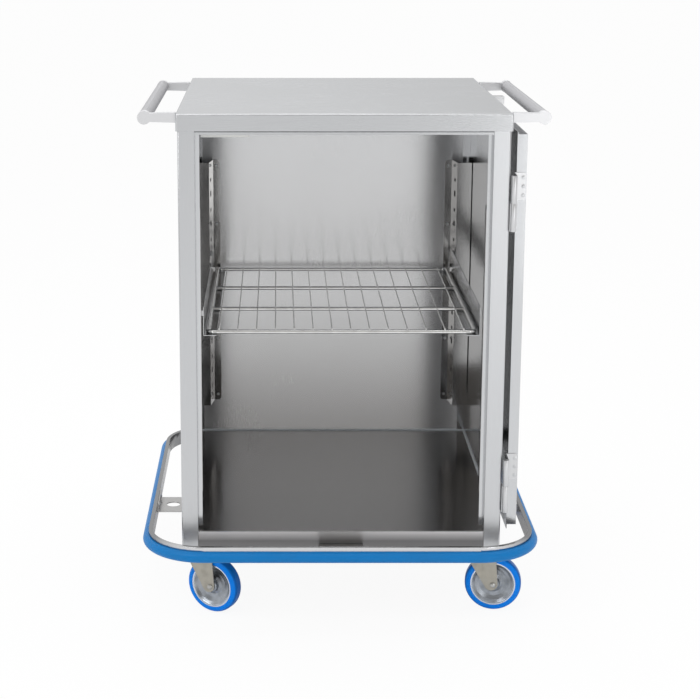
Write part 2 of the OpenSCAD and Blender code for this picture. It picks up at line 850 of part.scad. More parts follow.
module left_handle_grip() {
    color(GRIP_GREY) mirror([1, 0, 0]) handle_grip();
}

// A rounded rectangle that runs a set distance inside the bumper's metal face
module ring_plan(inset) {
    round_rect(2 * (ring_x - inset), 2 * (ring_y - inset), rail_r - inset);
}

// Bumper rail: a channel bent into a ring, open to the outside
module bumper_rail() {
    color(BRIGHT) difference() {
        translate([0, 0, rail_z0]) linear_extrude(rail_h) ring_plan(0);
        translate([0, 0, rail_z0 - 1]) linear_extrude(rail_h + 2) ring_plan(rail_t);
        translate([0, 0, insert_z0]) linear_extrude(rail_h - rail_web - rail_lip_h) difference() {
            ring_plan(-1);
            ring_plan(rail_t - rail_web);
        }
    }
}

// Section of the vinyl insert: a flat back in the channel and a round face; x is outwards
module insert_section() {
    back = rail_web - rail_t + 0.2;
    translate([back, insert_z0]) square([0.2 - back, insert_z1 - insert_z0]);
    intersection() {
        translate([bulge - bulge_r, insert_mid_z]) circle(bulge_r);
        translate([0, insert_mid_z - bulge_r]) square([bulge + 1, 2 * bulge_r]);
    }
}

module bumper_insert() {
    half_x = ring_x - rail_r;
    half_y = ring_y - rail_r;
    color(BUMPER_BLUE) for (i = [0 : 3]) {
        across = i % 2 == 0 ? half_x : half_y;
        along = i % 2 == 0 ? half_y : half_x;
        rotate([0, 0, 90 * i]) {
            translate([across + rail_r, along, 0])
                rotate([90, 0, 0]) linear_extrude(2 * along) insert_section();
            translate([across, along, 0]) rotate_extrude(angle = 90)
                translate([rail_r, 0]) insert_section();
        }
    }
}

// One bumper bracket towards +X: a plate with a hole, a flange down at the cabinet and up at the rail
module bumper_bracket(near, far, pierced) {
    top = bracket_z + bracket_t;
    difference() {
        union() {
            span([near, -bracket_w / 2, bracket_z], [far, bracket_w / 2, top]);
            span([near, -bracket_w / 2, base_z + 1], [near + bracket_t, bracket_w / 2, top]);
            span([far - bracket_t, -bracket_w / 2, bracket_z], [far, bracket_w / 2, top + bracket_flange_h]);
        }
        if (pierced)
            translate([(near + far) / 2, 0, bracket_z - 1]) cylinder(d = bracket_hole_d, h = bracket_t + 2);
    }
}

// The four brackets: angle, shift along the side, near face, far face and whether it is pierced
BRACKETS = [
    [0, side_bracket_y, body_x, ring_x - rail_t, true],
    [180, -side_bracket_y, body_x, ring_x - rail_t, true],
    [270, 0, body_y, ring_y - rail_t, false],
    [90, 0, body_y, ring_y - rail_t, false]];

module bumper_brackets() {
    color(STEEL) for (b = BRACKETS)
        rotate([0, 0, b[0]]) translate([0, b[1], 0]) bumper_bracket(b[2], b[3], b[4]);
}

// Button heads on the flanges of each bracket, drawn towards +Z
module button_head() {
    rotate_extrude() polygon([[0, 0], [5, 0], [4.6, 1.1], [3.4, 2.1], [1.6, 2.7], [0, 2.8]]);
}

module bumper_screws() {
    low_z = (base_z + bracket_z) / 2 + 1;
    high_z = bracket_z + bracket_t + bracket_flange_h * 0.55;
    color(BRIGHT) for (b = BRACKETS) rotate([0, 0, b[0]]) for (s = [-1, 1])
        translate([0, b[1] + s * bracket_w * screw_spread, 0]) {
            translate([b[2] + bracket_t, 0, low_z]) rotate([0, 90, 0]) button_head();
            translate([b[3] - bracket_t, 0, high_z]) rotate([0, -90, 0]) button_head();
        }
}

// Puts its child at the four bolt places of one caster plate
module caster_bolt_spots(cx, cy) {
    for (sx = [-1, 1], sy = [-1, 1])
        translate([cx + sx * bolt_dx / 2, cy + sy * bolt_dy / 2, 0]) children();
}

// Caster plates, each with its upper race and kingpin
module caster_plates() {
    color(BRIGHT) for (c = CASTERS) {
        difference() {
            translate([c[0], c[1], caster_h - plate_t])
                linear_extrude(plate_t) round_rect(plate_w, plate_l, 8);
            caster_bolt_spots(c[0], c[1]) translate([0, 0, caster_h - plate_t - 1])
                cylinder(r = caster_bolt_r + hole_gap, h = plate_t + 2);
        }
        translate([c[0], c[1], crown_z1 + run_gap])
            cylinder(r1 = race_r - 3, r2 = race_r, h = race_h);
        translate([c[0], c[1], deck_z - run_gap - 3]) {
            cylinder(r = kingpin_r, h = 3 + 2 * run_gap + fork_t + crown_h + 1);
            cylinder(r1 = kingpin_head_r - 2, r2 = kingpin_head_r, h = 3);
        }
    }
}

// Hexagon bolts up through plate and channel, with nuts inside the channel
module caster_bolts() {
    head_h = 5;
    nut_h = 6;
    hex_r = 7.5;
    color(BRIGHT) for (c = CASTERS) caster_bolt_spots(c[0], c[1]) {
        translate([0, 0, base_z - plate_t - head_h]) cylinder(r = hex_r, h = head_h, $fn = 6);
        translate([0, 0, base_z - plate_t - eps])
            cylinder(r = caster_bolt_r, h = plate_t + channel_t + nut_h + 3);
        translate([0, 0, base_z + channel_t]) cylinder(r = hex_r, h = nut_h, $fn = 6);
    }
}

// Puts its child in a caster's frame: u forwards along the wheel, v across it
module at_caster(i) {
    translate([CASTERS[i][0], CASTERS[i][1], 0]) rotate([0, 0, CASTERS[i][2]]) children();
}

// The point where a line from p touches the circle about c, on its left side or its right side
function touch(p, c, r, side) =
    let (d = p - c, a = atan2(d[1], d[0]) + side * acos(r / norm(d)))
    c + r * [cos(a), sin(a)];

// Side view of a fork leg: leaning on the axle side, slanted behind, with a full round end
module leg_side() {
    top = deck_z + fork_t;
    polygon([
        [leg_back[0], top],
        leg_back,
        touch(leg_back, leg_end, leg_end_r, 1),
        leg_end,
        touch(leg_front, leg_end, leg_end_r, -1),
        leg_front,
        [leg_front[0], top]]);
    translate(leg_end) circle(leg_end_r);
}

// How far a leg stands out at a place behind its crease
function flare(u) = (leg_crease - u) * tan(leg_bend);

// Plan of a leg's sheet: straight at the axle, bent outwards behind the crease
module leg_sheet() {
    back_u = leg_back[0] - fork_t;
    front_u = trail + leg_end_r;
    polygon([
        [back_u, leg_in + flare(back_u)],
        [leg_crease, leg_in],
        [front_u, leg_in],
        [front_u, leg_out],
        [leg_crease, leg_out],
        [back_u, leg_out + flare(back_u)]]);
}

// Plan of the deck between the legs
module deck_plan() {
    polygon([
        [leg_back[0], -leg_out - flare(leg_back[0])],
        [leg_crease, -leg_out],
        [leg_front[0], -leg_out],
        [leg_front[0], leg_out],
        [leg_crease, leg_out],
        [leg_back[0], leg_out + flare(leg_back[0])]]);
}

module fork_leg() {
    intersection() {
        translate([0, 2 * leg_out, 0]) rotate([90, 0, 0]) linear_extrude(2 * leg_out) leg_side();
        linear_extrude(deck_z + fork_t) leg_sheet();
    }
}

// Fork: a round crown, a deck and two creased legs with axle holes
module fork(i) {
    color(FORK_STEEL) at_caster(i) difference() {
        union() {
            translate([0, 0, crown_z0]) cylinder(r1 = crown_r, r2 = crown_r - 2, h = crown_h);
            translate([0, 0, deck_z]) linear_extrude(fork_t) deck_plan();
            fork_leg();
            mirror([0, 1, 0]) fork_leg();
        }
        translate([0, 0, deck_z - 1]) cylinder(r = kingpin_r + turn_gap, h = fork_t + crown_h + 2);
        rod_y(trail, -leg_out - 1, leg_out + 1, wheel_r, axle_r);
    }
}

// Axle bolt with a domed head towards the front and a nut at the other end
module axle(i) {
    dome_r = 1.55 * axle_r;
    nut_r = 1.75 * axle_r;
    color(BRIGHT) at_caster(i) {
        rod_y(trail, -leg_out - eps, leg_out + eps, wheel_r, axle_r);
        translate([trail, -leg_out, wheel_r]) rotate([90, 0, 0]) rotate_extrude()
            polygon([[0, 0], [dome_r, 0], [dome_r, 1.6], [dome_r * 0.8, 3.2], [dome_r * 0.4, 4.1], [0, 4.3]]);
        translate([trail, leg_out, wheel_r]) rotate([-90, 0, 0]) cylinder(r = nut_r, h = 6, $fn = 6);
    }
}

// Wheel centre: a dished disc between a boss and a rim, bored for the axle
module hub(i) {
    rim = hub_d / 2;
    half_w = tyre_w / 2 - 1;
    boss = leg_in - 0.5;
    bore = axle_r + turn_gap;
    side = [
        [bore, boss], [12, boss], [14, boss - 2], [16, half_w - 6], [22, half_w - 9.5],
        [rim * 0.62, half_w - 9], [rim * 0.8, half_w - 6], [rim - 4, half_w - 1.5],
        [rim - 3, half_w], [rim, half_w]];
    far_side = [for (k = [len(side) - 1 : -1 : 0]) [side[k][0], -side[k][1]]];
    color(CAST_GREY) at_caster(i) translate([trail, 0, wheel_r]) rotate([90, 0, 0])
        rotate_extrude() polygon(concat(side, far_side));
}

// Half section of the tyre: a band on the rim with round shoulders
module tyre_section() {
    rim = hub_d / 2;
    flat = tyre_w / 2 - tyre_shoulder;
    intersection() {
        translate([rim, -tyre_w / 2]) square([wheel_r - rim, tyre_w]);
        union() {
            translate([rim, -tyre_w / 2]) square([wheel_r - rim - tyre_shoulder, tyre_w]);
            translate([rim - tyre_shoulder, -flat]) square([wheel_r - rim + tyre_shoulder, 2 * flat]);
            for (s = [-1, 1]) translate([wheel_r - tyre_shoulder, s * flat]) circle(tyre_shoulder);
        }
    }
}

// Tyre, bonded to the rim
module tyre(i) {
    color(TYRE_BLUE) at_caster(i) translate([trail, 0, wheel_r]) rotate([90, 0, 0])
        rotate_extrude() tyre_section();
}

top_panel();
header_rail();
left_side_panel();
right_side_panel();
back_panel();
floor_pan();
front_base_channel();
rear_base_channel();
front_left_pilaster();
front_right_pilaster();
rear_left_pilaster();
rear_right_pilaster();
pilaster_screws();
left_shelf_slide();
right_shelf_slide();
wire_shelf();
magnetic_catch();
holdback_bracket();
holdback_magnet();
upper_frame_leaf();
lower_frame_leaf();
hinge_pins();
hinge_frame_screws();
door_outer_skin();
door_inner_skin();
upper_door_leaf();
lower_door_leaf();
hinge_door_screws();
door_pull();
strike_plate();
left_handle_arms();
right_handle_arms();
left_handle_grip();
right_handle_grip();
bumper_rail();
bumper_insert();
bumper_brackets();
bumper_screws();
caster_plates();
caster_bolts();
fork(0);  // front_left_fork
fork(1);  // front_right_fork
fork(2);  // rear_left_fork
fork(3);  // rear_right_fork
axle(0);  // front_left_axle
axle(1);  // front_right_axle
axle(2);  // rear_left_axle
axle(3);  // rear_right_axle
hub(0);  // front_left_hub
hub(1);  // front_right_hub
hub(2);  // rear_left_hub
hub(3);  // rear_right_hub
tyre(0);  // front_left_tyre
tyre(1);  // front_right_tyre
tyre(2);  // rear_left_tyre
tyre(3);  // rear_right_tyre
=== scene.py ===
"""Dresses the case cart: finishes for every node, soft edges on the sheet work, and a pale studio."""

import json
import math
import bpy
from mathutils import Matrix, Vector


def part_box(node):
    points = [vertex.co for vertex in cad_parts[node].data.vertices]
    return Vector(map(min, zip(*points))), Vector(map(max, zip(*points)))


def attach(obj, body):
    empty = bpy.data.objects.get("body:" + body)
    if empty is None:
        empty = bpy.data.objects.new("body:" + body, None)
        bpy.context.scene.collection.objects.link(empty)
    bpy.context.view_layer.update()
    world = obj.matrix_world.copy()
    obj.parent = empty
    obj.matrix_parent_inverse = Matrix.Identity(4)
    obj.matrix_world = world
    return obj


bl_info = {
    "name": "Case Cart Finish",
    "version": (1, 0, 0),
    "blender": (4, 5, 0),
    "location": "3D View > Sidebar > Cart",
    "description": "Gives a stainless case cart its finishes, fine edges, studio and camera",
    "category": "Object",
}

import bmesh
import bpy
from bpy.props import FloatProperty, FloatVectorProperty, IntProperty, PointerProperty
from mathutils import Matrix, Vector

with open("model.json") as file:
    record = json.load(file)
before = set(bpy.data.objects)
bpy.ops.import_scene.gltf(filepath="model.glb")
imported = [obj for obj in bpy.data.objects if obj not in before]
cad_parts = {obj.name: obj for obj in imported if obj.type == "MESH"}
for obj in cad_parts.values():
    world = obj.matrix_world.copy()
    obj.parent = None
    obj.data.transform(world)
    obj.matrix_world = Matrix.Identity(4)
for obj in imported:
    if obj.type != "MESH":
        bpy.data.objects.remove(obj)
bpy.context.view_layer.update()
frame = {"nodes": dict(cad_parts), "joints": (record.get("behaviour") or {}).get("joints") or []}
PANEL_TAB = "Cart"

# The nodes by the finish they take
SHEET_TOP = ("top_panel", "header_rail")
SHEET_FLOOR = ("floor_pan", "front_base_channel", "rear_base_channel")
SHEET_BACK = ("back_panel",)
SHEET_UPRIGHT = ("left_side_panel", "right_side_panel", "door_outer_skin", "door_inner_skin")
PILASTERS = ("front_left_pilaster", "front_right_pilaster", "rear_left_pilaster", "rear_right_pilaster")
SLIDES = ("left_shelf_slide", "right_shelf_slide")
LEAVES = ("upper_frame_leaf", "lower_frame_leaf", "upper_door_leaf", "lower_door_leaf")
SMALL_SCREWS = ("pilaster_screws", "hinge_frame_screws", "hinge_door_screws", "bumper_screws")
ARMS = ("left_handle_arms", "right_handle_arms")
GRIPS = ("left_handle_grip", "right_handle_grip")
CORNERS = ("front_left", "front_right", "rear_left", "rear_right")
# The studio is dim in front of the cart, between a pale band low down and a pale top: its colour, and the
# directions between which the white behind the cart, the dim part and the pale top set in
FRONT_DIM = (0.25, 0.23, 0.205)
WHITE_BEHIND = (-0.75, -0.15)
DIM_ABOVE = (0.05, 0.20)
DIM_BELOW = (0.45, 0.65)
STUDIO_STRENGTH = 0.85
# How white the floor is for the light and for the camera, and half its side
FLOOR_WHITE = 0.95
FLOOR_SEEN_WHITE = 0.92
FLOOR_REACH = 60.0
# Distances from the cart's middle between which the floor that the metal mirrors turns white, and its shares
MIRRORED_FLOOR = (0.55, 1.3, 0.3, 0.85)
# The mirrored backdrop is a little darker towards the right: two directions and their strengths
MIRROR_FADE = (-0.06, 0.14, 1.0, 0.82)
# Each lamp: its name, place, the point it faces, its two sides, and its power in watts
LAMPS = (
    ("Key", (-2.4, -3.0, 3.2), (0, 0, 0.7), (2.4, 1.8), 40),
    ("Fill", (1.35, -3.0, 0.85), (0, 0, 0.6), (1.0, 1.5), 8),
    ("Top", (0.2, 0.3, 3.6), (0, 0, 0.6), (2.2, 2.2), 30))

# Distances from the axle: where the tread's darker band of painted shade starts, and the brighter rim of the
# wheel centre
TREAD_FROM = (0.0598, 0.0622)
TREAD_DARK = 0.5
RIM_FROM = (0.0455, 0.0468)
DISH_DARK = 0.62
RIM_BRIGHT = 1.75
DISH_ROUGH = 0.24
RIM_ROUGH = 0.18
KNURL_DARK = 0.62
# Inner faces of the cabinet that the sealant beads run along
FLOOR_TOP = 0.206
BACK_FACE = 0.376
WALL_FACE = 0.3515
DOOR_STOP_BACK = -0.365
BEAD_STEPS = 5
# Duller finish on the apron and on the fronts of the posts: an axis, where it ends, where the plain finish
# starts, and its roughness
APRON_DULL = ("Z", FLOOR_TOP - 0.003, FLOOR_TOP - 0.001, 0.36)
FRONT_DULL = ("Y", -0.3765, -0.372, 0.32)
# Heights on the apron and the shares of its colour: a painted highlight, pale under the bend, and painted
# shade, darker downwards
APRON_SHADE = ("Z", (0.183, 0.55), (0.2045, 1.9), (0.2052, 1.9), (0.2058, 1.0))
# Painted light: the back panel is a little brighter near the floor
BACK_SHADE = ("Z", (0.24, 1.16), (0.55, 1.0))
# Painted shade: the rail is darker along the cart's sides and back
RAIL_SHADE = ("Y", (-0.445, 1.0), (-0.385, 0.42))
# Brushed sheet: how the grain and the cloud share the spread in roughness, the depth of the grain, and the
# tint of the mirror at a low angle
GRAIN_SHARE = 0.5
CLOUD_SHARE = 0.4
GRAIN_DEPTH = 0.00003
EDGE_TINT = 0.8
# Edges sharper than this are softened, after points closer than this are merged
SHARP_FROM = math.radians(40)
MERGE_REACH = 0.00001

AXIS_TURNS = {"X": (0, 0, 0), "Y": (0, 0, -math.pi / 2), "Z": (0, math.pi / 2, 0)}


def length(name, text, value):
    """A length setting in metres."""
    return FloatProperty(name=name, description=text, default=value, min=0, unit="LENGTH",
                         subtype="DISTANCE")


def share(name, text, value):
    """A setting from 0 to 1."""
    return FloatProperty(name=name, description=text, default=value, min=0, max=1, subtype="FACTOR")


def colour(name, text, value):
    """A colour setting."""
    return FloatVectorProperty(name=name, description=text, default=value, size=3, min=0, max=1,
                               subtype="COLOR")


class CartView(bpy.types.PropertyGroup):
    """Where the camera stands and how it frames the cart."""

    place: FloatVectorProperty(
        name="Camera place", description="Where the camera stands", default=(-0.1426, -4.0108, 1.5727),
        subtype="TRANSLATION", unit="LENGTH")
    pitch: FloatProperty(
        name="Pitch", description="How far the camera looks down", default=math.radians(12.486),
        unit="ROTATION", subtype="ANGLE")
    lens: FloatProperty(
        name="Lens", description="Focal length in millimetres", default=89.04, min=10,
        subtype="DISTANCE_CAMERA")
    shift_x: FloatProperty(name="Shift across", description="Framing shift across", default=0.1047)
    shift_y: FloatProperty(name="Shift up", description="Framing shift up", default=-0.0935)


class CartColours(bpy.types.PropertyGroup):
    """The colours of the cart's finishes."""

    steel: colour("Cabinet steel", "Brushed sheet of the cabinet", (0.61, 0.62, 0.635))
    floor: colour("Cabinet floor", "Brushed sheet of the floor pan", (0.46, 0.455, 0.46))
    # Set lighter than the cabinet steel as painted light
    back: colour("Back panel", "Brushed sheet of the back panel, finely ground", (0.84, 0.845, 0.855))
    # Darker than the cabinet steel: painted shade, for the pilasters deep in the cabinet and the brackets
    # under the rail
    pilaster: colour("Pilaster", "Sheet of the pilasters and the bumper brackets", (0.54, 0.535, 0.53))
    bright: colour("Bright steel", "Slides, rail and small fittings", (0.655, 0.66, 0.67))
    # Lighter than the cabinet steel as painted highlight, standing in for the glint along the rods
    wire: colour("Shelf wire", "Electropolished wire of the shelf", (0.78, 0.78, 0.77))
    arm: colour("Handle arm", "Satin arms of the handles", (0.77, 0.775, 0.79))
    grip: colour("Grip", "Knurled grips", (0.52, 0.52, 0.54))
    vinyl: colour("Bumper vinyl", "Blue insert of the bumper", (0.001, 0.19, 0.53))
    tyre: colour("Tyre", "Blue polyurethane of the tyres", (0.0, 0.24, 0.92))
    hub: colour("Wheel centre", "Metal centre of the wheels", (0.40, 0.43, 0.47))
    fork: colour("Fork", "Zinc plate of the forks", (0.42, 0.40, 0.35))
    zinc: colour("Caster plate", "Zinc plate of plates, bolts and axles", (0.55, 0.55, 0.53))
    # Near black, so that the gaps between the knuckles read dark: painted shade in the joints
    pin: colour("Hinge pin", "Near-black pins, painted shade in the joints of the hinges", (0.06, 0.06, 0.065))
    catch: colour("Catch", "White plastic of the two catches", (0.80, 0.80, 0.78))
    sealant: colour("Sealant", "Pale sealant round the cabinet floor", (0.66, 0.70, 0.74))


class CartEdges(bpy.types.PropertyGroup):
    """Edge sizes and the grain of the brushed sheet."""

    sheet_edge: length("Sheet edge", "Width of the softened edge of a sheet", 0.0005)
    bend_edge: length("Bend edge", "Width of the rounded bend at the front of the cabinet floor", 0.0012)
    plate_edge: length("Plate edge", "Width of the softened edge of a plate or leg", 0.0009)
    grain: share("Grain", "How strongly the brushed grain shows", 0.28)
    grain_pitch: length("Grain pitch", "Distance between brushed lines", 0.0008)
    sealant_bead: length("Sealant bead", "Radius of the sealant bead round the cabinet floor", 0.0035)
    knurl_pitch: length("Knurl pitch", "Distance between the lines of the grips' knurl", 0.0022)
    rounds: IntProperty(
        name="Edge steps", description="Segments of each softened edge", default=2, min=1, max=4)


def settings():
    """The scene's settings for this cart."""
    scene = bpy.context.scene
    return scene.cart_view, scene.cart_colours, scene.cart_edges


def rgba(value, amount=1.0, lift=0.0):
    """A colour with full alpha, made darker or lighter by an amount and a lift."""
    return (*(min(1.0, channel * amount + lift) for channel in value), 1.0)


# Shader groups

def start_group(name, inputs, outputs):
    """A new shader group with its sockets; returns it with its input and output nodes."""
    tree = bpy.data.node_groups.new(name, "ShaderNodeTree")
    for label, kind, value in inputs:
        socket = tree.interface.new_socket(name=label, in_out="INPUT", socket_type=kind)
        if value is not None:
            socket.default_value = value
    for label, kind in outputs:
        tree.interface.new_socket(name=label, in_out="OUTPUT", socket_type=kind)
    return tree, tree.nodes.new("NodeGroupInput"), tree.nodes.new("NodeGroupOutput")


def math_node(tree, operation, first, second=None, clamp=False):
    """A Math node fed by sockets or plain numbers; returns its output."""
    node = tree.nodes.new("ShaderNodeMath")
    node.operation = operation
    node.use_clamp = clamp
    for index, value in enumerate((first, second)):
        if value is None:
            continue
        if isinstance(value, (int, float)):
            node.inputs[index].default_value = value
        else:
            tree.links.new(value, node.inputs[index])
    return node.outputs[0]


def remap(tree, value, low, high, to_low=0.0, to_high=1.0):
    """A clamped Map Range node; returns its output."""
    node = tree.nodes.new("ShaderNodeMapRange")
    tree.links.new(value, node.inputs["Value"])
    node.inputs["From Min"].default_value = low
    node.inputs["From Max"].default_value = high
    node.inputs["To Min"].default_value = to_low
    node.inputs["To Max"].default_value = to_high
    return node.outputs["Result"]


def noise(tree, vector, scale, detail=2.0, roughness=0.5, distortion=0.0):
    """A Noise Texture node; returns its grey value."""
    node = tree.nodes.new("ShaderNodeTexNoise")
    node.inputs["Scale"].default_value = scale
    node.inputs["Detail"].default_value = detail
    node.inputs["Roughness"].default_value = roughness
    node.inputs["Distortion"].default_value = distortion
    tree.links.new(vector, node.inputs["Vector"])
    return node.outputs["Fac"]


def brushed_group():
    """Long fine lines along X, and a slow cloud: masks from 0 to 1."""
    name = "Brushed grain"
    if name in bpy.data.node_groups:
        return bpy.data.node_groups[name]
    tree, given, out = start_group(
        name,
        [("Vector", "NodeSocketVector", None), ("Fineness", "NodeSocketFloat", 1200.0),
         ("Stretch", "NodeSocketFloat", 0.02)],
        [("Grain", "NodeSocketFloat"), ("Cloud", "NodeSocketFloat")])
    scale = tree.nodes.new("ShaderNodeCombineXYZ")
    lengthways = math_node(tree, "MULTIPLY", given.outputs["Fineness"], given.outputs["Stretch"])
    tree.links.new(lengthways, scale.inputs["X"])
    tree.links.new(given.outputs["Fineness"], scale.inputs["Y"])
    tree.links.new(given.outputs["Fineness"], scale.inputs["Z"])
    stretched = tree.nodes.new("ShaderNodeVectorMath")
    stretched.operation = "MULTIPLY"
    tree.links.new(given.outputs["Vector"], stretched.inputs[0])
    tree.links.new(scale.outputs["Vector"], stretched.inputs[1])
    lines = noise(tree, stretched.outputs["Vector"], 1.0, detail=3.0, roughness=0.65)
    cloud = noise(tree, given.outputs["Vector"], 3.5)
    tree.links.new(remap(tree, lines, 0.32, 0.68), out.inputs["Grain"])
    tree.links.new(remap(tree, cloud, 0.30, 0.70), out.inputs["Cloud"])
    return tree


def handling_group():
    """Faint wiped smudges and stray scratches: a mask from 0 to 1."""
    name = "Handling marks"
    if name in bpy.data.node_groups:
        return bpy.data.node_groups[name]
    tree, given, out = start_group(
        name,
        [("Vector", "NodeSocketVector", None), ("Amount", "NodeSocketFloat", 0.5)],
        [("Marks", "NodeSocketFloat")])
    smudge = noise(tree, given.outputs["Vector"], 9.0, detail=5.0, roughness=0.55, distortion=0.6)
    wiped = remap(tree, smudge, 0.48, 0.72)
    scratch = tree.nodes.new("ShaderNodeTexVoronoi")
    scratch.feature = "DISTANCE_TO_EDGE"
    scratch.inputs["Scale"].default_value = 14.0
    tree.links.new(given.outputs["Vector"], scratch.inputs["Vector"])
    line = remap(tree, scratch.outputs["Distance"], 0.0, 0.006, 1.0, 0.0)
    thin = math_node(tree, "MULTIPLY", line, wiped)
    both = math_node(tree, "MAXIMUM", math_node(tree, "MULTIPLY", wiped, 0.6), thin)
    tree.links.new(math_node(tree, "MULTIPLY", both, given.outputs["Amount"], True), out.inputs["Marks"])
    return tree


# Materials

def object_place(tree):
    """The object coordinates, which are the cart's own."""
    return tree.nodes.new("ShaderNodeTexCoord").outputs["Object"]


def along(tree, vector, axis):
    """One coordinate of a vector."""
    split = tree.nodes.new("ShaderNodeSeparateXYZ")
    tree.links.new(vector, split.inputs["Vector"])
    return split.outputs[axis]


def distance(tree, vector):
    """The length of a vector."""
    node = tree.nodes.new("ShaderNodeVectorMath")
    node.operation = "LENGTH"
    tree.links.new(vector, node.inputs[0])
    return node.outputs["Value"]


def start_material(name, turn=(0, 0, 0), origin=(0, 0, 0)):
    """A new material: returns it with its tree, its shader and its turned and moved object coordinates."""
    material = bpy.data.materials.new(name)
    material.use_nodes = True
    tree = material.node_tree
    mapping = tree.nodes.new("ShaderNodeMapping")
    mapping.inputs["Location"].default_value = origin
    mapping.inputs["Rotation"].default_value = turn
    tree.links.new(object_place(tree), mapping.inputs["Vector"])
    return material, tree, tree.nodes["Principled BSDF"], mapping.outputs["Vector"]


def start_wheel_material(name, corner):
    """A new material centred on one wheel with its axle along Y; also returns the distance from the axle."""
    low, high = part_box(corner + "_tyre")
    axle = next(joint["axis"] for joint in frame["joints"] if joint["name"] == corner + "_spin")
    turn = math.atan2(axle[0], axle[1])
    origin = -(Matrix.Rotation(turn, 3, "Z") @ ((Vector(low) + Vector(high)) / 2))
    material, tree, shader, vector = start_material(name, (0, 0, turn), origin)
    flat = tree.nodes.new("ShaderNodeVectorMath")
    flat.operation = "MULTIPLY"
    flat.inputs[1].default_value = (1, 0, 1)
    tree.links.new(vector, flat.inputs[0])
    return material, tree, shader, vector, distance(tree, flat.outputs["Vector"])


def place_group(tree, group, vector, **values):
    """A group node in a material, fed by the given coordinates."""
    node = tree.nodes.new("ShaderNodeGroup")
    node.node_tree = group
    tree.links.new(vector, node.inputs["Vector"])
    for label, value in values.items():
        node.inputs[label].default_value = value
    return node


def tint(tree, factor, first, second):
    """A colour mixed from two by a factor socket."""
    node = tree.nodes.new("ShaderNodeMix")
    node.data_type = "RGBA"
    tree.links.new(factor, node.inputs["Factor"])
    for socket, value in ((node.inputs["A"], first), (node.inputs["B"], second)):
        if isinstance(value, bpy.types.NodeSocket):
            tree.links.new(value, socket)
        else:
            socket.default_value = value
    return node.outputs["Result"]


def add_bump(tree, shader, height, depth, strength):
    """A Bump node from a height socket to the shader's normal."""
    node = tree.nodes.new("ShaderNodeBump")
    node.inputs["Distance"].default_value = depth
    node.inputs["Strength"].default_value = strength
    tree.links.new(height, node.inputs["Height"])
    tree.links.new(node.outputs["Normal"], shader.inputs["Normal"])


def shaded(tree, colour_in, axis, *stops):
    """Painted light and shade: a colour scaled by shares that change evenly between places along an axis."""
    place = along(tree, object_place(tree), axis)
    total = stops[0][1]
    for (start, before), (end, after) in zip(stops, stops[1:]):
        total = math_node(tree, "ADD", remap(tree, place, start, end, 0.0, after - before), total)
    node = tree.nodes.new("ShaderNodeVectorMath")
    node.operation = "SCALE"
    tree.links.new(colour_in, node.inputs[0])
    tree.links.new(total, node.inputs["Scale"])
    return node.outputs["Vector"]


def smear(tree, shader, around, amount):
    """Stretches the highlights across the grain, which runs round one axis."""
    tangent = tree.nodes.new("ShaderNodeTangent")
    tangent.direction_type = "RADIAL"
    tangent.axis = around
    tree.links.new(tangent.outputs["Tangent"], shader.inputs["Tangent"])
    shader.inputs["Anisotropic"].default_value = amount


def brushed_metal(name, base, axis, rough=0.22, spread=0.08, dark=0.86, around=None, marks=0.25,
                  stretch=0.6, dull_zone=None, shade=None):
    """Brushed metal whose grain runs along one axis; its highlights may smear round another.

    A dull zone is an axis, where it ends, where the plain finish starts, and its roughness.
    A shade is painted light and shade: an axis and the shares of the colour at places along it.
    """
    _, _, edges = settings()
    material, tree, shader, vector = start_material(name, AXIS_TURNS[axis])
    grain = place_group(tree, brushed_group(), vector, Fineness=1.0 / edges.grain_pitch)
    handled = place_group(tree, handling_group(), vector, Amount=marks)
    lines = math_node(tree, "MULTIPLY", grain.outputs["Grain"], edges.grain)
    colour_out = tint(tree, lines, rgba(base), rgba(base, dark))
    # Painted light and shade on the colour, where a shade is given
    if shade:
        colour_out = shaded(tree, colour_out, *shade)
    tree.links.new(colour_out, shader.inputs["Base Color"])
    worn = math_node(tree, "ADD", math_node(tree, "MULTIPLY", grain.outputs["Grain"], spread * GRAIN_SHARE),
                     math_node(tree, "MULTIPLY", handled.outputs["Marks"], spread))
    cloud = math_node(tree, "MULTIPLY", grain.outputs["Cloud"], spread * CLOUD_SHARE)
    cloudy = math_node(tree, "ADD", worn, cloud)
    if dull_zone:
        zone_axis, end, start, zone_rough = dull_zone
        rough = remap(tree, along(tree, object_place(tree), zone_axis), end, start, zone_rough, rough)
    tree.links.new(math_node(tree, "ADD", cloudy, rough), shader.inputs["Roughness"])
    shader.inputs["Metallic"].default_value = 1.0
    shader.inputs["Specular Tint"].default_value = (EDGE_TINT, EDGE_TINT, EDGE_TINT, 1)
    if around:
        smear(tree, shader, around, stretch)
    add_bump(tree, shader, grain.outputs["Grain"], GRAIN_DEPTH, 0.2)
    return material


def plated_metal(name, base, rough=0.25, dark=0.7):
    """Plated or polished metal with a little cloudiness."""
    material, tree, shader, vector = start_material(name)
    cloud = noise(tree, vector, 40.0, detail=4.0)
    handled = place_group(tree, handling_group(), vector, Amount=0.6)
    mask = remap(tree, cloud, 0.4, 0.75)
    tree.links.new(tint(tree, mask, rgba(base), rgba(base, dark)), shader.inputs["Base Color"])
    uneven = math_node(tree, "MULTIPLY", mask, 0.10)
    marks = math_node(tree, "MULTIPLY", handled.outputs["Marks"], 0.12)
    worn = math_node(tree, "ADD", uneven, marks)
    tree.links.new(math_node(tree, "ADD", worn, rough), shader.inputs["Roughness"])
    shader.inputs["Metallic"].default_value = 1.0
    add_bump(tree, shader, cloud, 0.00005, 0.3)
    return material


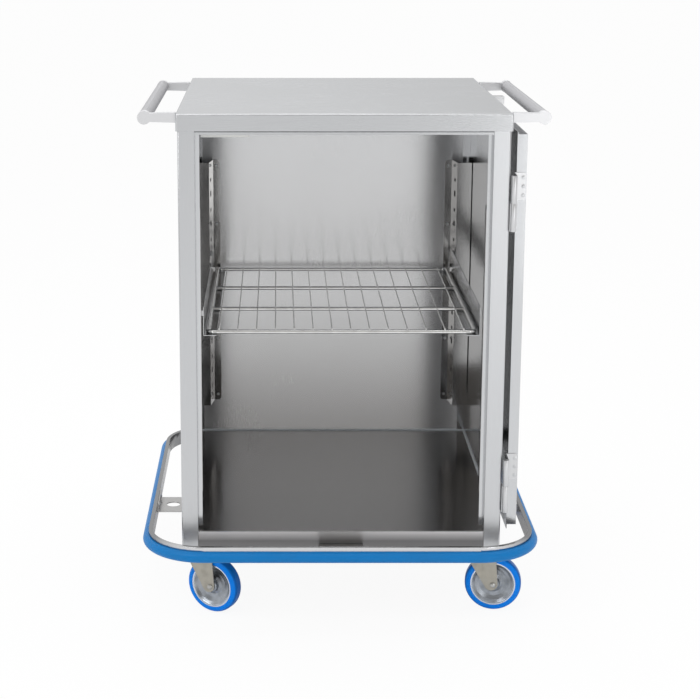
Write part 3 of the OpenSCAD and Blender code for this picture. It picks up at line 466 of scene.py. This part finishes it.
def turned_metal(name, base, corner):
    """A wheel centre: dull dish with fine turned rings, and a rim lighter in colour and smoother."""
    material, tree, shader, vector, reach = start_wheel_material(name, corner)
    rings = tree.nodes.new("ShaderNodeTexNoise")
    rings.noise_dimensions = "1D"
    rings.inputs["Scale"].default_value = 900.0
    tree.links.new(reach, rings.inputs["W"])
    cloud = remap(tree, noise(tree, vector, 45.0), 0.35, 0.7)
    dish = tint(tree, cloud, rgba(base), rgba(base, DISH_DARK))
    rim = remap(tree, reach, *RIM_FROM)
    tree.links.new(tint(tree, rim, dish, rgba(base, RIM_BRIGHT)), shader.inputs["Base Color"])
    uneven = math_node(tree, "MULTIPLY", rings.outputs["Fac"], 0.12)
    plain = remap(tree, rim, 0.0, 1.0, DISH_ROUGH, RIM_ROUGH)
    tree.links.new(math_node(tree, "ADD", uneven, plain), shader.inputs["Roughness"])
    shader.inputs["Metallic"].default_value = 0.9
    add_bump(tree, shader, rings.outputs["Fac"], 0.00008, 0.5)
    return material


def knurled_metal(name, base):
    """Grip finish: fine crossed lines round and along the tube."""
    _, _, edges = settings()
    material, tree, shader, vector = start_material(name)
    lengthways, upright = along(tree, vector, "Y"), along(tree, vector, "Z")
    turns = 2 * math.pi / edges.knurl_pitch
    ways = []
    for sign in (1, -1):
        slant = math_node(tree, "ADD", lengthways, math_node(tree, "MULTIPLY", upright, sign))
        ways.append(math_node(tree, "SINE", math_node(tree, "MULTIPLY", slant, turns)))
    height = remap(tree, math_node(tree, "MULTIPLY", *ways), -1.0, 1.0)
    tree.links.new(tint(tree, height, rgba(base, KNURL_DARK), rgba(base)), shader.inputs["Base Color"])
    shader.inputs["Metallic"].default_value = 0.6
    shader.inputs["Roughness"].default_value = 0.45
    add_bump(tree, shader, height, 0.0003, 0.6)
    return material


def moulded(name, base, rough, bump=0.00003, fade=0.85, gloss=0.5, corner=None):
    """Moulded plastic, vinyl or polyurethane with fine pores and slight fading.

    On a tyre, which is named by its corner, the tread is darker: painted shade.
    """
    if corner:
        material, tree, shader, vector, reach = start_wheel_material(name, corner)
        # Painted shade: the tread, away from the axle, is darker
        clean = tint(tree, remap(tree, reach, *TREAD_FROM), rgba(base), rgba(base, TREAD_DARK))
    else:
        material, tree, shader, vector = start_material(name)
        clean = rgba(base)
    pores = noise(tree, vector, 900.0)
    handled = place_group(tree, handling_group(), vector, Amount=0.8)
    faded = rgba(base, fade, 0.01)
    tree.links.new(tint(tree, handled.outputs["Marks"], clean, faded), shader.inputs["Base Color"])
    marks = math_node(tree, "MULTIPLY", handled.outputs["Marks"], 0.15)
    tree.links.new(math_node(tree, "ADD", marks, rough), shader.inputs["Roughness"])
    shader.inputs["Specular IOR Level"].default_value = gloss
    add_bump(tree, shader, pores, bump, 0.5)
    return material


def shiny_ray(tree, path):
    """1 for what a mirror or a glass shows, and 0 for the rest."""
    return math_node(tree, "MAXIMUM", path.outputs["Is Glossy Ray"], path.outputs["Is Transmission Ray"])


def floor_material():
    """Pale floor: diffuse for the light, nearly white for the camera and the metal, and still shadowed."""
    material = bpy.data.materials.new("Pale floor")
    material.use_nodes = True
    tree = material.node_tree
    tree.nodes.clear()
    out = tree.nodes.new("ShaderNodeOutputMaterial")
    plain = tree.nodes.new("ShaderNodeBsdfDiffuse")
    plain.inputs["Color"].default_value = (FLOOR_WHITE, FLOOR_WHITE, FLOOR_WHITE, 1)
    glow = tree.nodes.new("ShaderNodeEmission")
    glow.inputs["Color"].default_value = (1, 1, 1, 1)
    glow.inputs["Strength"].default_value = 1.0
    path = tree.nodes.new("ShaderNodeLightPath")
    mirrored = remap(tree, distance(tree, object_place(tree)), *MIRRORED_FLOOR)
    part = math_node(tree, "MAXIMUM",
                     math_node(tree, "MULTIPLY", path.outputs["Is Camera Ray"], FLOOR_SEEN_WHITE),
                     math_node(tree, "MULTIPLY", shiny_ray(tree, path), mirrored))
    mix = tree.nodes.new("ShaderNodeMixShader")
    tree.links.new(part, mix.inputs["Fac"])
    tree.links.new(plain.outputs["BSDF"], mix.inputs[1])
    tree.links.new(glow.outputs["Emission"], mix.inputs[2])
    tree.links.new(mix.outputs["Shader"], out.inputs["Surface"])
    return material


# Helpers for nodes and pieces

def dress(names, material):
    """Puts one material on CAD nodes."""
    for name in names:
        for slot in frame["nodes"][name].material_slots:
            slot.material = material


def soften(names, width):
    """Fine bevels on the true edges of CAD nodes, after their loose triangles are merged."""
    _, _, edges = settings()
    for name in names:
        node = frame["nodes"][name]
        weld = node.modifiers.new("Merge", "WELD")
        weld.merge_threshold = MERGE_REACH
        bevel = node.modifiers.new("Soft edge", "BEVEL")
        bevel.width = width
        bevel.segments = edges.rounds
        bevel.limit_method = "ANGLE"
        bevel.angle_limit = SHARP_FROM
        bevel.harden_normals = True
        bevel.use_clamp_overlap = True


# Operators

class CART_OT_stage(bpy.types.Operator):
    """Build the pale floor, the studio light and the camera"""

    bl_idname = "cart.stage"
    bl_label = "Stage"

    def execute(self, context):
        view, _, _ = settings()
        scene = context.scene
        scene.view_settings.view_transform = "Standard"
        self.make_camera(scene, view)
        self.make_world(scene)
        self.make_floor()
        self.make_lamps()
        return {"FINISHED"}

    def make_camera(self, scene, view):
        data = bpy.data.cameras.new("Cart camera")
        data.lens = view.lens
        data.sensor_width = 36.0
        data.shift_x = view.shift_x
        data.shift_y = view.shift_y
        camera = bpy.data.objects.new("Cart camera", data)
        camera.location = view.place
        camera.rotation_euler = (math.pi / 2 - view.pitch, 0, 0)
        scene.collection.objects.link(camera)
        scene.camera = camera

    def make_world(self, scene):
        """White behind the cart and at its sides; dim in front, between a pale band and a pale top."""
        world = bpy.data.worlds.new("Studio")
        scene.world = world
        world.use_nodes = True
        tree = world.node_tree
        tree.nodes.clear()
        out = tree.nodes.new("ShaderNodeOutputWorld")
        seen = tree.nodes.new("ShaderNodeBackground")
        seen.inputs["Color"].default_value = (1, 1, 1, 1)
        light = tree.nodes.new("ShaderNodeBackground")
        light.inputs["Strength"].default_value = STUDIO_STRENGTH
        way = tree.nodes.new("ShaderNodeTexCoord").outputs["Generated"]
        behind = remap(tree, along(tree, way, "Y"), *WHITE_BEHIND)
        in_front = math_node(tree, "SUBTRACT", 1.0, behind)
        rise = along(tree, way, "Z")
        band = math_node(tree, "MULTIPLY", remap(tree, rise, *DIM_ABOVE),
                         remap(tree, rise, *DIM_BELOW, 1.0, 0.0))
        dim = math_node(tree, "MULTIPLY", in_front, band)
        tree.links.new(tint(tree, dim, (1, 1, 1, 1), rgba(FRONT_DIM)), light.inputs["Color"])
        mirrored = tree.nodes.new("ShaderNodeBackground")
        mirrored.inputs["Color"].default_value = (1, 1, 1, 1)
        tree.links.new(remap(tree, along(tree, way, "X"), *MIRROR_FADE), mirrored.inputs["Strength"])
        path = tree.nodes.new("ShaderNodeLightPath")
        for factor, shader in ((math_node(tree, "MULTIPLY", shiny_ray(tree, path), behind), mirrored),
                               (path.outputs["Is Camera Ray"], seen)):
            mix = tree.nodes.new("ShaderNodeMixShader")
            tree.links.new(factor, mix.inputs["Fac"])
            tree.links.new(light.outputs[0], mix.inputs[1])
            tree.links.new(shader.outputs["Background"], mix.inputs[2])
            light = mix
        tree.links.new(light.outputs["Shader"], out.inputs["Surface"])

    def make_floor(self):
        shape = bmesh.new()
        bmesh.ops.create_grid(shape, x_segments=1, y_segments=1, size=FLOOR_REACH)
        mesh = bpy.data.meshes.new("Studio floor")
        shape.to_mesh(mesh)
        shape.free()
        floor = bpy.data.objects.new("studio_floor", mesh)
        bpy.context.scene.collection.objects.link(floor)
        mesh.materials.append(floor_material())

    def make_lamps(self):
        for name, place, target, size, power in LAMPS:
            data = bpy.data.lights.new(name, "AREA")
            data.shape = "RECTANGLE"
            data.size, data.size_y = size
            data.energy = power
            lamp = bpy.data.objects.new(name, data)
            lamp.visible_camera = False
            lamp.location = place
            lamp.rotation_euler = (Vector(target) - Vector(place)).to_track_quat("-Z", "Y").to_euler()
            bpy.context.scene.collection.objects.link(lamp)


class CART_OT_cabinet(bpy.types.Operator):
    """Finish the cabinet's sheets, pilasters and slides"""

    bl_idname = "cart.cabinet"
    bl_label = "Cabinet"

    def execute(self, context):
        _, colours, edges = settings()
        dress(SHEET_TOP, brushed_metal("Brushed steel, top", colours.steel, "X", around="X"))
        # The floor's apron carries a painted highlight under the bend and painted shade below it
        dress(SHEET_FLOOR, brushed_metal("Brushed steel, floor", colours.floor, "X", rough=0.14, around="X",
                                         dull_zone=APRON_DULL, shade=APRON_SHADE))
        # The back panel's colour carries painted light: lighter than the other sheet, and brighter near the
        # floor
        dress(SHEET_BACK, brushed_metal("Brushed steel, back panel", colours.back, "Z", rough=0.25,
                                        spread=0.03, around="X", stretch=1.0, marks=0.3, shade=BACK_SHADE))
        dress(SHEET_UPRIGHT, brushed_metal("Brushed steel, grain upright", colours.steel, "Z", rough=0.11,
                                           spread=0.06, dull_zone=FRONT_DULL))
        # The pilasters' darker colour is painted shade
        dress(PILASTERS, brushed_metal("Pilaster steel", colours.pilaster, "Z", rough=0.09, spread=0.04))
        dress(SLIDES, brushed_metal("Slide steel", colours.bright, "Y", rough=0.12))
        soften(SHEET_TOP + SHEET_UPRIGHT + PILASTERS + SLIDES, edges.sheet_edge)
        soften(("floor_pan",), edges.bend_edge)
        return {"FINISHED"}


class CART_OT_sealant(bpy.types.Operator):
    """Run beads of sealant along the back and the sides of the cabinet floor"""

    bl_idname = "cart.sealant"
    bl_label = "Sealant"

    def execute(self, context):
        _, colours, edges = settings()
        shape = bmesh.new()
        width, depth = 2 * WALL_FACE, BACK_FACE - DOOR_STOP_BACK
        rear_left = Matrix.Translation((-WALL_FACE, BACK_FACE, FLOOR_TOP))
        self.run_bead(shape, edges.sealant_bead, width, rear_left)
        for side in (-1, 1):
            start = (side * WALL_FACE, BACK_FACE if side > 0 else DOOR_STOP_BACK, FLOOR_TOP)
            turn = Matrix.Rotation(-side * math.pi / 2, 4, "Z")
            self.run_bead(shape, edges.sealant_bead, depth, Matrix.Translation(start) @ turn)
        mesh = bpy.data.meshes.new("Floor sealant")
        shape.to_mesh(mesh)
        shape.free()
        bead = bpy.data.objects.new("floor_sealant", mesh)
        context.scene.collection.objects.link(bead)
        mesh.materials.append(moulded("Pale sealant", colours.sealant, rough=0.35, fade=0.9))
        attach(bead, "cabinet")
        return {"FINISHED"}

    def run_bead(self, shape, radius, run, place):
        """One quarter-round bead along +X with its corner on the start, moved to its place."""
        first = bmesh.ops.create_vert(shape, co=(0, -radius, 0))["vert"]
        bmesh.ops.spin(shape, geom=first, cent=(0, 0, 0), axis=(1, 0, 0), dvec=(0, 0, 0),
                       angle=-math.pi / 2, steps=BEAD_STEPS, use_duplicate=False)
        corner = bmesh.ops.create_vert(shape, co=(0, 0, 0))["vert"]
        made = {vert for edge in shape.edges if not edge.link_faces for vert in edge.verts}
        face = bmesh.ops.contextual_create(shape, geom=list(made) + corner)["faces"]
        grown = bmesh.ops.extrude_face_region(shape, geom=face)["geom"]
        ends = [item for item in grown if isinstance(item, bmesh.types.BMVert)]
        bmesh.ops.translate(shape, verts=ends, vec=(run, 0, 0))
        bead = list(made) + corner + ends
        faces = list({face for vert in bead for face in vert.link_faces})
        bmesh.ops.recalc_face_normals(shape, faces=faces)
        bmesh.ops.transform(shape, matrix=place, verts=bead)


class CART_OT_shelf(bpy.types.Operator):
    """Finish the wire shelf"""

    bl_idname = "cart.shelf"
    bl_label = "Wire shelf"

    def execute(self, context):
        _, colours, _ = settings()
        # The wire's raised colour is painted highlight for the glint on the rods
        dress(("wire_shelf",), plated_metal("Electropolished wire", colours.wire, rough=0.16, dark=0.82))
        return {"FINISHED"}


class CART_OT_door(bpy.types.Operator):
    """Finish the hinges, the pull, the catch and the hold-open bracket"""

    bl_idname = "cart.door"
    bl_label = "Door fittings"

    def execute(self, context):
        _, colours, edges = settings()
        bright = brushed_metal("Bright fittings", colours.bright, "Z", rough=0.2)
        dress(("holdback_bracket", "door_pull", "strike_plate"), bright)
        # The near-black pin shows in the gaps between the knuckles as painted shade
        dress(("hinge_pins",), plated_metal("Hinge pin, painted joint shade", colours.pin))
        dress(LEAVES, brushed_metal("Hinge steel", colours.bright, "Z", rough=0.30, spread=0.05))
        dress(SMALL_SCREWS, plated_metal("Screw steel", colours.steel, rough=0.32, dark=0.9))
        catches = ("magnetic_catch", "holdback_magnet")
        dress(catches, moulded("White catch plastic", colours.catch, rough=0.35))
        soften(LEAVES + ("holdback_bracket",) + catches, edges.sheet_edge)
        return {"FINISHED"}


class CART_OT_handles(bpy.types.Operator):
    """Finish the handle arms and the knurled grips"""

    bl_idname = "cart.handles"
    bl_label = "Handles"

    def execute(self, context):
        _, colours, edges = settings()
        dress(ARMS, brushed_metal("Satin arm", colours.arm, "X", rough=0.42, dark=0.92))
        dress(GRIPS, knurled_metal("Knurled grip", colours.grip))
        soften(ARMS, edges.plate_edge)
        return {"FINISHED"}


class CART_OT_bumper(bpy.types.Operator):
    """Finish the bumper rail, its blue insert and its brackets"""

    bl_idname = "cart.bumper"
    bl_label = "Bumper"

    def execute(self, context):
        _, colours, edges = settings()
        # The rail carries painted shade along the sides and back
        dress(("bumper_rail",), brushed_metal("Bumper rail", colours.bright, "X", rough=0.18,
                                              shade=RAIL_SHADE))
        # The brackets take the pilasters' darker colour: painted shade under the rail
        dress(("bumper_brackets",), brushed_metal("Bracket steel", colours.pilaster, "X", rough=0.32))
        dress(("bumper_insert",), moulded("Blue bumper vinyl", colours.vinyl, rough=0.42, gloss=0.25))
        soften(("bumper_rail", "bumper_brackets"), edges.sheet_edge)
        return {"FINISHED"}


class CART_OT_casters(bpy.types.Operator):
    """Finish the casters"""

    bl_idname = "cart.casters"
    bl_label = "Casters"

    def execute(self, context):
        _, colours, edges = settings()
        zinc = plated_metal("Zinc plate", colours.zinc, rough=0.3)
        dress(("caster_plates", "caster_bolts"), zinc)
        dress([corner + "_axle" for corner in CORNERS], zinc)
        forks = [corner + "_fork" for corner in CORNERS]
        dress(forks, plated_metal("Dull zinc fork", colours.fork, rough=0.34, dark=0.8))
        for corner in CORNERS:
            side = corner.replace("_", " ")
            dress((corner + "_hub",), turned_metal("Wheel centre, " + side, colours.hub, corner))
            # Each tyre's tread carries painted shade
            dress((corner + "_tyre",), moulded("Blue polyurethane, " + side, colours.tyre, rough=0.30,
                                               bump=0.00002, gloss=0.15, corner=corner))
        soften(forks, edges.plate_edge)
        return {"FINISHED"}


class CART_PT_finish(bpy.types.Panel):
    """Lists the cart's settings and its steps"""

    bl_idname = "CART_PT_finish"
    bl_label = "Case Cart"
    bl_space_type = "VIEW_3D"
    bl_region_type = "UI"
    bl_category = PANEL_TAB

    def draw(self, context):
        for group in settings():
            box = self.layout.box()
            for name in group.__annotations__:
                box.prop(group, name)
        for step in STEPS:
            self.layout.operator(step.bl_idname)


STEPS = (CART_OT_stage, CART_OT_cabinet, CART_OT_sealant, CART_OT_shelf, CART_OT_door, CART_OT_handles,
         CART_OT_bumper, CART_OT_casters)
GROUPS = (CartView, CartColours, CartEdges)
CLASSES = GROUPS + STEPS + (CART_PT_finish,)


def register():
    """Registers the classes and puts the settings on the scene."""
    for item in CLASSES:
        bpy.utils.register_class(item)
    bpy.types.Scene.cart_view = PointerProperty(type=CartView)
    bpy.types.Scene.cart_colours = PointerProperty(type=CartColours)
    bpy.types.Scene.cart_edges = PointerProperty(type=CartEdges)


def unregister():
    """Takes the settings and the classes away."""
    del bpy.types.Scene.cart_edges
    del bpy.types.Scene.cart_colours
    del bpy.types.Scene.cart_view
    for item in reversed(CLASSES):
        bpy.utils.unregister_class(item)


def main():
    """Runs every step in order."""
    register()
    bpy.ops.cart.stage()
    bpy.ops.cart.cabinet()
    bpy.ops.cart.sealant()
    bpy.ops.cart.shelf()
    bpy.ops.cart.door()
    bpy.ops.cart.handles()
    bpy.ops.cart.bumper()
    bpy.ops.cart.casters()
    bpy.context.view_layer.update()


if __name__ == "__main__":
    main()
